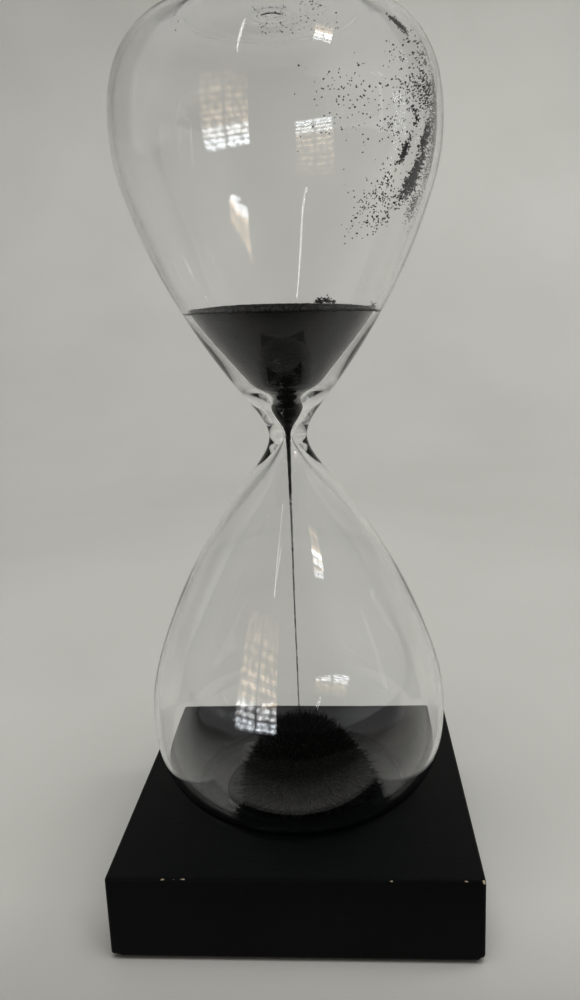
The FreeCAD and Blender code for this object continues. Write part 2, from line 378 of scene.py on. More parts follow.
def filings_material(name, dark, light, painted_glint, grain=3200.0):
    """Charcoal iron filings. Each grain has its own shade, from dark to light, with a few painted glints: grains
    painted bright to stand in for sparkle, and a dull metal sheen."""
    material, tree, shader = shader_nodes(name)
    place = object_place(tree)
    cells = add(tree, "TexVoronoi", Scale=grain)
    tree.links.new(place, cells.inputs["Vector"])
    own = add(tree, "SeparateColor")
    tree.links.new(cells.outputs["Color"], own.inputs["Color"])
    shades = add(tree, "Attribute", attribute_name="shade")
    both = add(tree, "Math", operation="MULTIPLY_ADD")
    both.inputs[1].default_value = 0.45
    tree.links.new(own.outputs["Red"], both.inputs[0])
    half = add(tree, "Math", operation="MULTIPLY")
    half.inputs[1].default_value = 0.55
    tree.links.new(shades.outputs["Fac"], half.inputs[0])
    tree.links.new(half.outputs["Value"], both.inputs[2])
    # The top stop is a painted glint: a bright colour standing in for the sparkle of a grain that catches a
    # lamp.
    colour = ramp(tree, both.outputs["Value"], ((0.05, dark), (0.7, light), (0.93, painted_glint)))
    tree.links.new(colour, shader.inputs["Base Color"])
    patches = noise_at(tree, place, 420.0)
    tree.links.new(spread(tree, patches, 0.36, 0.68), shader.inputs["Roughness"])
    tree.links.new(bump(tree, cells.outputs["Distance"], 0.0002, 0.7), shader.inputs["Normal"])
    shader.inputs["Metallic"].default_value = 0.3
    shader.inputs["Specular IOR Level"].default_value = 0.15
    return material


def glass_material():
    """Clear blown glass. Lamps shine through it, so that what it holds is lit."""
    material, tree, shader = shader_nodes("clear_glass")
    place = object_place(tree)
    shader.inputs["Base Color"].default_value = (1.0, 1.0, 1.0, 1)
    shader.inputs["Transmission Weight"].default_value = 1.0
    shader.inputs["IOR"].default_value = 1.47
    smears = noise_at(tree, place, 60.0, 3.0)
    tree.links.new(ramp(tree, smears, ((0.55, grey(0.0)), (0.8, grey(0.003)))), shader.inputs["Roughness"])
    waves = noise_at(tree, place, 28.0, 1.0)
    tree.links.new(bump(tree, waves, 0.0006, 0.12), shader.inputs["Normal"])
    clear = add(tree, "BsdfTransparent", Color=(0.93, 0.94, 0.935, 1))
    rays = add(tree, "LightPath")
    mix = add(tree, "MixShader")
    tree.links.new(rays.outputs["Is Shadow Ray"], mix.inputs["Fac"])
    tree.links.new(shader.outputs["BSDF"], mix.inputs[1])
    tree.links.new(clear.outputs["BSDF"], mix.inputs[2])
    tree.links.new(mix.outputs["Shader"], tree.nodes["Material Output"].inputs["Surface"])
    return material


def paint_material():
    """Matt black paint on wood, worn through to pale wood where the mesh's bare attribute says so, with dusty
    scuffs."""
    material, tree, shader = shader_nodes("black_paint")
    place = object_place(tree)
    stretch = add(tree, "Mapping", vector_type="POINT")
    stretch.inputs["Scale"].default_value = (0.12, 1.0, 1.0)
    tree.links.new(place, stretch.inputs["Vector"])
    grain = noise_at(tree, stretch.outputs["Vector"], 900.0, 5.0, 0.7)
    clouds = noise_at(tree, place, 45.0, 6.0, 0.6)
    fine = noise_at(tree, place, 2600.0, 2.0, 0.5)
    paint = ramp(tree, clouds, ((0.3, (0.0012, 0.0015, 0.0017)), (0.75, (0.0025, 0.0030, 0.0031))))
    scuffs = noise_at(tree, place, 70.0, 8.0, 0.78)
    scuff_mask = ramp(tree, scuffs, ((0.65, grey(0.0)), (0.78, grey(0.5))))
    speck_mask = ramp(tree, fine, ((0.80, grey(0.0)), (0.84, grey(1.0))))
    dust = blend(tree, "MULTIPLY", scuff_mask, ramp(tree, fine, ((0.45, grey(0.0)), (0.68, grey(1.0)))))
    all_dust = blend(tree, "ADD", dust, speck_mask)
    dusty = add(tree, "Mix", data_type="RGBA")
    dusty.inputs[7].default_value = (0.10, 0.10, 0.095, 1)
    tree.links.new(all_dust, dusty.inputs[0])
    tree.links.new(paint, dusty.inputs[6])
    wood = ramp(tree, grain, ((0.3, (0.24, 0.20, 0.14)), (0.7, (0.40, 0.34, 0.25))))
    bare = add(tree, "Attribute", attribute_name="bare")
    rough_edge = add(tree, "Math", operation="MULTIPLY_ADD")
    rough_edge.inputs[1].default_value = 0.5
    tree.links.new(fine, rough_edge.inputs[0])
    tree.links.new(bare.outputs["Fac"], rough_edge.inputs[2])
    chip = ramp(tree, rough_edge.outputs["Value"], ((0.56, grey(0.0)), (0.7, grey(1.0))))
    worn = add(tree, "Mix", data_type="RGBA")
    tree.links.new(chip, worn.inputs[0])
    tree.links.new(dusty.outputs[2], worn.inputs[6])
    tree.links.new(wood, worn.inputs[7])
    tree.links.new(worn.outputs[2], shader.inputs["Base Color"])
    tree.links.new(spread(tree, clouds, 0.42, 0.6), shader.inputs["Roughness"])
    shader.inputs["Specular IOR Level"].default_value = 0.12
    flat = bump(tree, fine, 0.00005, 0.5)
    tree.links.new(bump(tree, grain, 0.0001, 0.45, flat), shader.inputs["Normal"])
    return material


def plain_material(name, low, high, scale, roughness, depth):
    """A dull material whose colour and surface vary at one scale."""
    material, tree, shader = shader_nodes(name)
    place = object_place(tree)
    speckle = noise_at(tree, place, scale, 6.0, 0.7)
    tree.links.new(ramp(tree, speckle, ((0.3, low), (0.7, high))), shader.inputs["Base Color"])
    tree.links.new(spread(tree, speckle, roughness - 0.08, roughness + 0.08), shader.inputs["Roughness"])
    tree.links.new(bump(tree, speckle, depth, 0.6), shader.inputs["Normal"])
    return material


# ================================================================ glass


def outer_outline(count):
    return natural_spline(both_ways(OUTER_POINTS), count, 0.5)


def inside_points(throat, walls, gap):
    """Points of radius and height along the inside of one bulb, from the neck plane to its flat end."""
    outside = outer_outline(4000)
    along = unit(np.gradient(outside, axis=0))
    points = [(r - gap, z) for r, z in throat]
    for (r, z), wall in zip(OUTER_POINTS[THIN_WALL_FROM:-1], walls):
        i = np.argmin(np.hypot(outside[:, 0] - r, outside[:, 1] - z))
        points.append((r - (wall + gap) * along[i, 1], z + (wall + gap) * along[i, 0]))
    points.append((INNER_END_RADIUS, HALF_LENGTH / MM - END_WALL - gap))
    return points


def inner_outline(count, gap=0.0):
    upper = inside_points(THROAT_POINTS, UPPER_WALLS, gap)
    lower = inside_points(LOWER_THROAT_POINTS, LOWER_WALLS, gap)
    return natural_spline([(r, -z) for r, z in reversed(lower[1:])] + upper, count, 0.4)


def end_outline(height, sealed):
    """The outside of one flat end from the axis to the rim, height mm from the neck plane: a punt, with the
    button and groove of the fused seal in it if it is sealed."""
    r = np.linspace(0, OUTER_POINTS[-1][0], 30)
    z = height - PUNT_DEPTH * np.clip(1 - (r / PUNT_RADIUS) ** 2, 0, 1)
    if sealed:
        z += SEAL_RISE * np.clip(1 - (r / SEAL_RADIUS) ** 2, 0, 1) ** 0.7
        z -= GROOVE_DEPTH * np.exp(-(((r - SEAL_RADIUS) / GROOVE_HALF_WIDTH) ** 2))
    return np.stack([r, z], 1)


def glass_piece():
    top = HALF_LENGTH / MM
    wall = outer_outline(GLASS_RINGS)[::-1]
    cap = end_outline(top, True)
    foot = end_outline(top, False)[::-1] * (1, -1)
    outside = np.concatenate([cap[:-1], wall, foot[1:]])
    inner = inner_outline(GLASS_RINGS)
    end_r = np.linspace(0, INNER_END_RADIUS, END_RINGS)
    seal_bump = SEAL_INSIDE_DROP * np.exp(-((end_r / SEAL_INSIDE_RADIUS) ** 4))
    inner_foot = np.stack([end_r, np.full(END_RINGS, -(top - END_WALL))], 1)
    inner_cap = np.stack([end_r, top - END_WALL - seal_bump], 1)[::-1]
    inside = np.concatenate([inner_foot[:-1], inner, inner_cap[1:]])
    verts_a, faces_a = lathe(outside, GLASS_SEGMENTS)
    verts_b, faces_b = lathe(inside, GLASS_SEGMENTS, len(verts_a))
    verts_b = blown_wobble(verts_b)
    verts = np.concatenate([verts_a, verts_b]) * MM + (0, 0, NECK_Z)
    piece = mesh_piece("timer_glass", verts, faces_a + faces_b)
    piece.data.materials.append(glass_material())
    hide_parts("upper_bulb", "lower_bulb", "glass_neck", "fill_seal")
    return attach(piece, "timer_glass")


def blown_wobble(verts):
    """Blown glass is a little thicker in some places than in others."""
    moved = verts.copy()
    for i, (x, y, z) in enumerate(verts):
        radius = math.hypot(x, y)
        if radius < 2.0:
            continue
        swing = noise.noise(Vector((x * 0.035, y * 0.035, z * 0.03 + 5.0)))
        moved[i, 0] = x * (1 + 0.12 * swing / radius)
        moved[i, 1] = y * (1 + 0.12 * swing / radius)
    return moved


# ================================================================ base block

BLOCK_AROUND = 1200
EDGE_ROUND = 0.6
CORNER_ROUND = 0.7
SEAT_RADIUS = 26.2
SEAT_EDGE = 0.5
POCKET_RADIUS = 15.2
# each chip is its middle, its half size and its depth, in mm from the middle of the block's top
CHIPS = (
    ((-27.4, -40.0, 0.0), (0.8, 0.5, 0.3), 0.22),
    ((-25.1, -40.0, 0.0), (0.5, 0.4, 0.25), 0.18),
    ((-23.2, -40.0, 0.0), (0.9, 0.5, 0.3), 0.24),
    ((-20.8, -40.0, 0.0), (0.45, 0.4, 0.25), 0.16),
    ((20.6, -40.0, 0.0), (0.6, 0.45, 0.3), 0.2),
    ((35.8, -40.0, 0.0), (0.7, 0.45, 0.3), 0.22),
    ((39.7, -39.7, -0.2), (0.6, 0.6, 0.7), 0.25),
    ((-39.6, -39.6, -18.8), (1.6, 1.0, 0.6), 0.4),
    ((39.6, -39.6, -18.7), (1.1, 1.0, 0.7), 0.35),
    ((40.0, -12.5, 0.0), (0.4, 0.9, 0.3), 0.22),
    ((40.0, 22.0, 0.0), (0.4, 0.7, 0.3), 0.2),
    ((-40.0, 6.0, 0.0), (0.4, 0.8, 0.3), 0.2),
    ((-12.0, 40.0, 0.0), (0.9, 0.4, 0.3), 0.22),
    ((27.0, 40.0, 0.0), (0.7, 0.4, 0.3), 0.2),
)


def square_walk(count):
    """count points evenly spaced around a square that reaches from -1 to 1."""
    t = np.arange(count) / count * 4
    side = t.astype(int)
    along = 2 * (t - side) - 1
    x = np.select([side == 0, side == 1, side == 2], [along, 1 + 0 * t, -along], -1 + 0 * t)
    y = np.select([side == 0, side == 1, side == 2], [-1 + 0 * t, along, 1 + 0 * t], -along)
    return np.stack([x, y], 1)


def rounded_square(walk, half, corner):
    p = walk * half
    q = np.clip(p, corner - half, half - corner)
    d = p - q
    size = np.linalg.norm(d, axis=1, keepdims=True)
    return np.where(size > 1e-9, q + d * corner / np.maximum(size, 1e-9), p)


def block_rings():
    """The block's rings from the pocket's ceiling round the outside to the seat's floor. Each is how square it
    is, its half size and its height, in mm."""
    low, high = BLOCK_LOW.z / MM, BLOCK_TOP / MM
    half = HALF_SIDE / MM
    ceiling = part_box("magnet_disc")[1].z / MM + 0.05
    floor = SEAT_FLOOR / MM
    arc = np.linspace(0, math.pi / 2, 6)
    rings = [(0, r, ceiling) for r in (5, 10, POCKET_RADIUS)]
    rings += [(0, POCKET_RADIUS, z) for z in np.linspace(ceiling, low, 6)[1:]]
    for m in (0.25, 0.5, 0.75, 0.9, 0.97, 1):
        rings.append((m, POCKET_RADIUS + (half - EDGE_ROUND - POCKET_RADIUS) * m, low))
    for a in arc[1:]:
        rings.append((1, half - EDGE_ROUND + EDGE_ROUND * math.sin(a), low + EDGE_ROUND * (1 - math.cos(a))))
    rise = (high - low) / 2 - EDGE_ROUND
    for s in (-0.97, -0.93, -0.86, -0.7, -0.5, -0.25, 0, 0.25, 0.5, 0.7, 0.86, 0.93, 0.97):
        rings.append((1, half, (low + high) / 2 + s * rise))
    rings += [(1, half - EDGE_ROUND * (1 - math.cos(a)), high - EDGE_ROUND * (1 - math.sin(a))) for a in arc]
    seat_top = SEAT_RADIUS + SEAT_EDGE
    for m in (0.985, 0.96, 0.93, 0.88, 0.8, 0.7, 0.58, 0.45, 0.3, 0.15, 0.05, 0):
        rings.append((m, seat_top + (half - EDGE_ROUND - seat_top) * m, high))
    rings += [(0, seat_top - SEAT_EDGE * math.sin(a), high - SEAT_EDGE * (1 - math.cos(a))) for a in arc[1:]]
    rings += [(0, SEAT_RADIUS, z) for z in np.linspace(high - SEAT_EDGE, floor + 0.3, 4)[1:]]
    rings += [(0, SEAT_RADIUS - 0.3 + 0.3 * math.cos(a), floor + 0.3 - 0.3 * math.sin(a)) for a in arc[2::2]]
    rings += [(0, r, floor) for r in (24, 22, 17, 11, 5)]
    return rings, ceiling, floor


def block_piece():
    walk = square_walk(BLOCK_AROUND)
    circle = unit(walk)
    rings, ceiling, floor = block_rings()
    verts = [(0, 0, ceiling)]
    for square, half, z in rings:
        plan = square * rounded_square(walk, half, min(CORNER_ROUND, half)) + (1 - square) * circle * half
        verts.extend(zip(plan[:, 0], plan[:, 1], np.full(BLOCK_AROUND, z)))
    verts.append((0, 0, floor))
    verts = np.array(verts)
    n = BLOCK_AROUND
    j = np.arange(n)
    k = (j + 1) % n
    quads = []
    for i in range(len(rings) - 1):
        low, high = 1 + i * n, 1 + (i + 1) * n
        quads.extend(np.stack([low + j, low + k, high + k, high + j], 1).tolist())
    last = len(verts) - 1
    ends = [(0, 1 + a, 1 + b) for a, b in zip(j, k)]
    ends += [(last, last - n + a, last - n + b) for a, b in zip(j, k)]
    verts, bare = worn_edges(verts)
    piece = mesh_piece("wood_block", verts * MM, [tuple(q) for q in quads] + ends)
    marks = piece.data.attributes.new("bare", "FLOAT", "POINT")
    marks.data.foreach_set("value", bare.astype(np.float32))
    piece.data.materials.append(PAINT)
    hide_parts("base_block")
    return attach(piece, "base")


def worn_edges(verts):
    """Sinks chips into the block's edges."""
    top = np.array((0, 0, BLOCK_TOP / MM))
    bare = np.zeros(len(verts))
    moved = verts.copy()
    middle = np.array((0, 0, (BLOCK_TOP + BLOCK_LOW.z) / 2 / MM))
    for centre, half, depth in CHIPS:
        offset = (verts - top - centre) / half
        near = np.flatnonzero(np.linalg.norm(offset, axis=1) < 1.6)
        inward = np.sign(middle - (top + centre)) * (np.abs(np.abs(np.array(centre)) - (40, 40, 0)) < 1.0)
        inward = inward.astype(float)
        inward[2] = -1.0 if centre[2] > -9 else 1.0
        inward = inward / np.linalg.norm(inward)
        for i in near:
            ragged = 0.3 * noise.noise(Vector(verts[i] * 1.7)) + 0.2 * noise.noise(Vector(verts[i] * 4.1))
            sunk = np.clip(1.15 - np.linalg.norm(offset[i]) + ragged, 0, 1)
            moved[i] += inward * depth * min(1.0, 1.6 * sunk)
            bare[i] = max(bare[i], sunk)
    return moved, bare


# ================================================================ filings in the upper bulb


def bed_height(x, y):
    reach = np.clip(np.hypot(x, y) / 21.0, 0, 1)
    return BED_CROWN - (BED_CROWN - BED_RIM) * reach**3 - BED_SLOPE * x


def fill_piece():
    """The filings that wait in the upper bulb, down to the neck. Their side follows the glass."""
    side = inner_outline(1600, GLASS_GAP)
    side = side[side[:, 1] > -0.4]
    foot = np.array([(0.0, -0.4)])
    rows = 190
    at_rim = BED_RIM + 1.6
    side = side[side[:, 1] < at_rim]
    side = side[np.linspace(0, len(side) - 1, rows).astype(int)]
    around = 224
    angles = np.linspace(0, 2 * math.pi, around, endpoint=False)
    rim = side[-1, 0]
    crown = np.stack([np.linspace(rim, 0, 46)[1:], np.full(45, 99.0)], 1)
    outline = np.concatenate([crown[::-1], side[::-1], foot])
    verts, faces = lathe(outline, around)
    cover = bed_height(verts[:, 0], verts[:, 1])
    above = verts[:, 2] > cover
    verts[above, 2] = cover[above]
    for i, (x, y, z) in enumerate(verts):
        grainy = noise.noise(Vector((x, y, z)) * 2.6) + 0.6 * noise.noise(Vector((x, y, z)) * 5.5)
        if above[i]:
            verts[i, 2] += 0.13 * grainy + 0.16 * noise.noise(Vector((x, y, 3.0)) * 0.45)
        reach = math.hypot(x, y)
        if reach > 1.0:
            push = min(0.0, 0.05 * grainy - 0.05)
            verts[i, 0] += x / reach * push
            verts[i, 1] += y / reach * push
    verts = verts * MM + (0, 0, NECK_Z)
    piece = mesh_piece("filings_fill", verts, faces)
    shade_by(piece, np.full(len(verts), 0.4))
    piece.data.materials.append(BED_IRON)
    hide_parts("filings_bed", "throat_filings")
    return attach(piece, "timer_glass")


def iron_piece(piece, material, body, *nodes):
    """Gives a piece of filings its material, the nodes it stands for and the body it rides on."""
    piece.data.materials.append(material)
    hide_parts(*nodes)
    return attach(piece, body)


# each clump on the bed is its middle across and along, its spread in mm and its number of grains
BED_CLUMPS = (
    (8.4, 1.5, 0.7, 80),
    (9.9, 0.2, 0.8, 90),
    (7.4, 3.0, 0.5, 30),
    (11.2, 0.8, 0.5, 30),
    (20.1, -2.6, 0.6, 34),
)
BED_LOOSE = 5200
BED_AT_RIM = 2600
RIM_GRAIN_SCALE = 1.35


def bed_grains():
    """Loose grains all over the bed's top, thickest at its rim, and the small clumps that lie on it."""
    rng = np.random.default_rng(11)
    rim = float(np.interp(BED_RIM, *inner_outline(2000, GLASS_GAP)[:, ::-1].T)) - 0.15
    loose = np.sqrt(rng.uniform(0, 1, BED_LOOSE))
    at_rim = 1 - 0.03 * rng.uniform(0, 1, BED_AT_RIM) ** 2
    reach = rim * np.concatenate([loose, at_rim])
    angle = rng.uniform(0, 2 * math.pi, len(reach))
    x, y = reach * np.cos(angle), reach * np.sin(angle)
    size = rng.uniform(0.16, 0.42, len(x)) * np.where(np.arange(len(x)) < BED_LOOSE, 1.0, RIM_GRAIN_SCALE)
    z = bed_height(x, y) + 0.14 * rng.uniform(0, 1, len(x)) + 0.3 * size
    places = [np.stack([x, y, z], 1)]
    sizes = [size]
    lightest = [np.full(len(x), 1.0)]
    for cx, cy, spread_mm, count in BED_CLUMPS:
        off = rng.normal(size=(count, 3)) * spread_mm * (0.55, 0.55, 0.75)
        x, y = cx + off[:, 0], cy + off[:, 1]
        lift = 0.3 + np.abs(off[:, 2]) + 0.25 * spread_mm
        places.append(np.stack([x, y, bed_height(x, y) + lift], 1))
        sizes.append(rng.uniform(0.24, 0.5, count))
        lightest.append(np.full(count, 0.35))
    places = np.concatenate(places)
    keep = np.hypot(places[:, 0], places[:, 1]) < rim + 0.3
    places, sizes = places[keep] + (0, 0, NECK_Z / MM), np.concatenate(sizes)[keep]
    piece = grains("bed_grains", places, sizes, rng, (0.0, np.concatenate(lightest)[keep]))
    return iron_piece(piece, GRAIN_IRON_PAINTED_LIGHT, "timer_glass", "bed_clumps")


STREAM_GRAINS = 3000
NECK_GRAINS = 1800


def stream_piece():
    """The thread of falling grains, dense at the neck and thinning out on its way down."""
    rng = np.random.default_rng(23)
    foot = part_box("filings_stream")[0].z / MM + 0.1
    start = NECK_Z / MM - 0.2
    count = STREAM_GRAINS
    down = rng.uniform(0, 1, count) ** 1.15
    z = start + (foot - start) * down
    wide = 0.42 * np.exp(-down * 5.5) + 0.17
    angle = rng.uniform(0, 2 * math.pi, count)
    off = wide * np.sqrt(rng.uniform(0, 1, count))
    drift = np.stack([[noise.noise(Vector((k, 4.0, h * 0.05))) for h in z] for k in (1.0, 9.0)], 1) * 0.12
    drift *= np.minimum(1, down * 6)[:, None]
    places = np.stack([off * np.cos(angle) + drift[:, 0], off * np.sin(angle) + drift[:, 1], z], 1)
    sizes = rng.uniform(0.12, 0.26, count) * (1.15 - 0.35 * down)
    turn = rng.uniform(0, 2 * math.pi, NECK_GRAINS)
    reach = 0.5 * np.sqrt(rng.uniform(0, 1, NECK_GRAINS))
    drop = start + 0.3 - 14.0 * rng.uniform(0, 1, NECK_GRAINS) ** 1.5
    reach *= 1 - 0.035 * (start - drop)
    places = np.concatenate([places, np.stack([reach * np.cos(turn), reach * np.sin(turn), drop], 1)])
    sizes = np.concatenate([sizes, rng.uniform(0.2, 0.34, NECK_GRAINS)])
    piece = grains("falling_grains", places, sizes, rng, (0.0, 0.5))
    return iron_piece(piece, BED_IRON, "timer_glass", "filings_stream")


# each patch on the upper bulb's wall: its azimuth in degrees, height above the neck, spread along and across in
# mm, lean in degrees from upright, number of grains and their smallest and largest size
WALL_PATCHES = (
    (-39.0, 79.0, 1.6, 0.45, -67, 150, 0.2, 0.45),
    (-30.5, 75.0, 2.8, 4.0, -22, 60, 0.25, 0.5),
    (-33.5, 68.5, 2.0, 4.0, 0, 110, 0.22, 0.5),
    (-27.0, 67.5, 2.6, 2.0, 0, 120, 0.2, 0.42),
    (-19.0, 66.5, 4.5, 2.4, 0, 160, 0.18, 0.4),
    (-35.5, 63.5, 1.2, 0.6, -42, 36, 0.25, 0.5),
    (-27.5, 60.0, 2.0, 0.9, 28, 170, 0.25, 0.55),
    (-39.5, 57.0, 1.7, 0.6, 25, 120, 0.25, 0.55),
    (-20.0, 58.5, 7.5, 1.8, 0, 420, 0.15, 0.32),
    (-30.5, 53.5, 2.9, 1.1, 31, 420, 0.25, 0.6),
    (-32.5, 50.5, 2.6, 1.3, 62, 190, 0.22, 0.5),
    (-25.0, 48.0, 1.8, 1.5, 0, 150, 0.16, 0.34),
    (-45.5, 50.5, 3.4, 1.8, 18, 80, 0.25, 0.5),
    (-54.0, 47.0, 3.2, 2.4, 25, 60, 0.25, 0.45),
    (-44.0, 45.5, 3.6, 2.0, 64, 60, 0.25, 0.48),
    (-61.0, 65.5, 4.2, 6.0, 0, 90, 0.25, 0.45),
    (-47.5, 60.5, 1.3, 1.6, 0, 22, 0.25, 0.5),
    (-40.0, 64.0, 5.0, 3.0, 0, 50, 0.25, 0.45),
    (-44.5, 73.5, 1.6, 0.9, -60, 12, 0.25, 0.4),
    (-66.0, 59.0, 3.6, 4.4, 0, 16, 0.25, 0.4),
    (-8.0, 60.0, 6.0, 3.0, 0, 160, 0.18, 0.36),
    (10.0, 62.0, 5.0, 4.0, 0, 60, 0.18, 0.36),
    (-120.0, 80.4, 0.6, 1.6, 60, 5, 0.2, 0.3),
)


PATCH_DENSITY = 1.3
BULB_RADIUS = 33.0
HIGHEST_GRAIN = 86.0


def on_wall(azimuth, height, inset):
    """Places in mm inside a bulb's wall, inset mm in from the glass, at azimuths in degrees."""
    outline = inner_outline(3000)
    reach = np.interp(height, outline[:, 1], outline[:, 0]) - inset
    angle = np.radians(azimuth)
    return np.stack([reach * np.cos(angle), reach * np.sin(angle), height + NECK_Z / MM], 1)


def clinging_grains():
    rng = np.random.default_rng(31)
    azimuths, heights, sizes = [], [], []
    for azimuth, height, along, across, lean, number, small, large in WALL_PATCHES:
        count = int(number * PATCH_DENSITY)
        tilt = math.radians(lean)
        a = rng.normal(size=count) * along * 0.8
        b = rng.normal(size=count) * across * 0.8
        up = a * math.cos(tilt) - b * math.sin(tilt)
        round_it = a * math.sin(tilt) + b * math.cos(tilt)
        azimuths.append(azimuth + np.degrees(round_it / BULB_RADIUS))
        heights.append(height + up)
        sizes.append(rng.uniform(small, large, count))
    heights = np.minimum(np.concatenate(heights), HIGHEST_GRAIN)
    sizes = np.concatenate(sizes)
    places = on_wall(np.concatenate(azimuths), heights, 0.12 + 0.45 * sizes)
    piece = grains("clinging_grains", places, sizes, rng, (0.0, 0.6))
    # These grains take the darkest iron as painted shade: their side towards the front is in shade.
    return iron_piece(piece, BED_IRON, "timer_glass", "clinging_patch", "clinging_specks")


END_GRAINS = 90


def end_grains():
    rng = np.random.default_rng(37)
    count = END_GRAINS
    places = np.stack([rng.uniform(-3, 14, count), rng.uniform(-11, 9, count), np.zeros(count)], 1)
    places = places[np.hypot(places[:, 0], places[:, 1]) < 16.5]
    sizes = rng.uniform(0.25, 0.46, len(places))
    places[:, 2] = (NECK_Z + HALF_LENGTH) / MM - END_WALL - 0.4 - 0.5 * sizes
    piece = grains("end_grains", places, sizes, rng, (0.0, 0.6))
    return iron_piece(piece, BED_IRON, "timer_glass", "end_specks")


def stray_grains():
    rng = np.random.default_rng(41)
    azimuth = np.array((-97.0, -128.0, -131.0, -60.0, -52.0, -150.0, -35.0, 40.0, 95.0, 150.0))
    height = -np.array((42.0, 56.5, 79.0, 70.0, 76.0, 74.0, 78.0, 62.0, 70.0, 78.0))
    sizes = rng.uniform(0.18, 0.32, len(azimuth))
    piece = grains("stray_grains", on_wall(azimuth, height, 0.12 + 0.45 * sizes), sizes, rng, (0.0, 0.6))
    return iron_piece(piece, GRAIN_IRON_PAINTED_LIGHT, "timer_glass", "lower_specks")


# ================================================================ mound on the magnet


def glass_floor():
    return (NECK_Z - HALF_LENGTH) / MM + END_WALL


def leaned(height):
    """Where the middle of the mound is at heights in mm above the glass floor."""
    share = (height / MOUND_OUTLINE[-1][1])[:, None]
    return np.array(MOUND_FOOT_CENTRE)[None] + share * np.array(MOUND_LEAN)[None]


def lobes(angle, height):
    """How much wider or narrower than round the mound is at an angle and height."""
    oval = 0.035 * np.cos(angle - 0.3)
    broad = 0.02 * np.cos(3 * angle + 1.0 + 0.1 * height)
    fine = 0.012 * np.cos(7 * angle + 0.35 * height)
    return 1 + oval + broad + fine


def mound_surface(share, angle):
    """Points and outward normals of the mound's body. share runs from 0 at the foot to 1 at the crown."""
    outline = natural_spline(MOUND_OUTLINE, 600)
    slope = unit(np.gradient(outline, axis=0))
    at = share * (len(outline) - 1)
    index = np.arange(len(outline))
    r, z = (np.interp(at, index, outline[:, k]) for k in (0, 1))
    dr, dz = (np.interp(at, index, slope[:, k]) for k in (0, 1))
    wide = r * lobes(angle, z)
    centre = leaned(z)
    points = np.stack([centre[:, 0] + wide * np.cos(angle), centre[:, 1] + wide * np.sin(angle), z], 1)
    normals = unit(np.stack([dz * np.cos(angle), dz * np.sin(angle), -dr], 1))
    return points, normals


def field_way(points):
    """The way a magnet under the glass turns iron at points in mm above the glass floor."""
    x = points[:, 0]
    y = points[:, 1]
    z = points[:, 2] + POLE_DEPTH
    rho = np.hypot(x, y)
    far = np.hypot(rho, z)
    sin, cos = rho / far, z / far
    out = 3 * sin * cos
    return unit(np.stack([out * x / np.maximum(rho, 1e-6), out * y / np.maximum(rho, 1e-6), 3 * cos**2 - 1], 1))


def inside_glass(points):
    """Pulls points in mm above the glass floor back to where they clear the glass."""
    kept = points.copy()
    kept[:, 2] = np.maximum(kept[:, 2], 0.22)
    outline = inner_outline(3000)
    height = kept[:, 2] - glass_floor_drop()
    wall = np.interp(height, outline[:, 1], outline[:, 0]) - 0.5
    reach = np.hypot(kept[:, 0], kept[:, 1])
    pull = np.minimum(1, wall / np.maximum(reach, 1e-6))
    kept[:, :2] *= pull[:, None]
    kept[:, 2] = kept[:, 2] + glass_floor()
    return kept


def glass_floor_drop():
    return HALF_LENGTH / MM - END_WALL


def mound_body():
    around, rows = 200, 120
    angles = np.linspace(0, 2 * math.pi, around, endpoint=False)
    verts = []
    for share in np.linspace(0, 0.995, rows):
        points, normals = mound_surface(np.full(around, share), angles)
        rough = np.array([noise.noise(Vector(p * 1.9)) + 0.6 * noise.noise(Vector(p * 4.3)) for p in points])
        verts.append(points + normals * (0.22 * rough[:, None]))
    foot = np.array([[*leaned(np.zeros(1))[0], 0.25]])
    crown = mound_surface(np.ones(1), np.zeros(1))[0]
    verts = np.concatenate([crown] + verts[::-1] + [foot])
    faces = []
    last = len(verts) - 1
    for j in range(around):
        k = (j + 1) % around
        faces.append((0, 1 + j, 1 + k))
        faces.append((last, last - around + k, last - around + j))
        for i in range(rows - 1):
            a = 1 + i * around
            faces.append((a + j, a + around + j, a + around + k, a + k))
    piece = mesh_piece("mound_body", inside_glass(verts) * MM, faces)
    shade_by(piece, np.full(len(verts), 0.1))
    return iron_piece(piece, MOUND_IRON_PAINTED_SHADE, "mound", "mound_core")


def scattered(rng, count, low, high):
    """count even-spread places on the mound's body between two shares of its outline."""
    share = rng.uniform(low, high, count * 3)
    outline = natural_spline(MOUND_OUTLINE, 600)
    reach = np.interp(share * 599, np.arange(600), outline[:, 0])
    share = share[rng.uniform(0, MOUND_WIDEST, len(share)) < reach][:count]
    return share, rng.uniform(0, 2 * math.pi, len(share))


def cap_spikes():
    rng = np.random.default_rng(53)
    share, angle = scattered(rng, 3000, 0.4, 0.999)
    points, normals = mound_surface(share, angle)
    ways = unit(0.5 * field_way(points) + 0.5 * normals + 0.24 * rng.normal(size=points.shape))
    lengths = rng.uniform(0.9, 2.6, len(points)) * (1 + 0.6 * (rng.uniform(0, 1, len(points)) > 0.9))
    widths = rng.uniform(0.34, 0.62, len(points))
    roots = points - ways * 0.5
    piece = strands("cap_spikes", roots, ways, lengths + 0.5, widths, rng, 4, (0.0, 0.9), 0.0, inside_glass)
    return iron_piece(piece, MOUND_IRON_PAINTED_SHADE, "mound", "crown_spikes")


def flank_strands():
    rng = np.random.default_rng(59)
    share, angle = scattered(rng, 3600, 0.05, 0.46)
    points, normals = mound_surface(share, angle)
    ways = unit(0.9 * field_way(points) + 0.25 * normals + 0.16 * rng.normal(size=points.shape))
    lengths = rng.uniform(1.2, 3.4, len(points)) * np.interp(share, (0.05, 0.25, 0.46), (1.15, 1.0, 0.7))
    lengths *= 1 + 0.5 * (rng.uniform(0, 1, len(points)) > 0.88)
    widths = rng.uniform(0.28, 0.5, len(points))
    roots = points - ways * 0.5
    piece = strands("flank_strands", roots, ways, lengths + 0.5, widths, rng, 3, (0.1, 1.0), 0.06, inside_glass)
    return iron_piece(piece, FLANK_IRON_PAINTED_LIGHT, "mound", "flank_spikes")


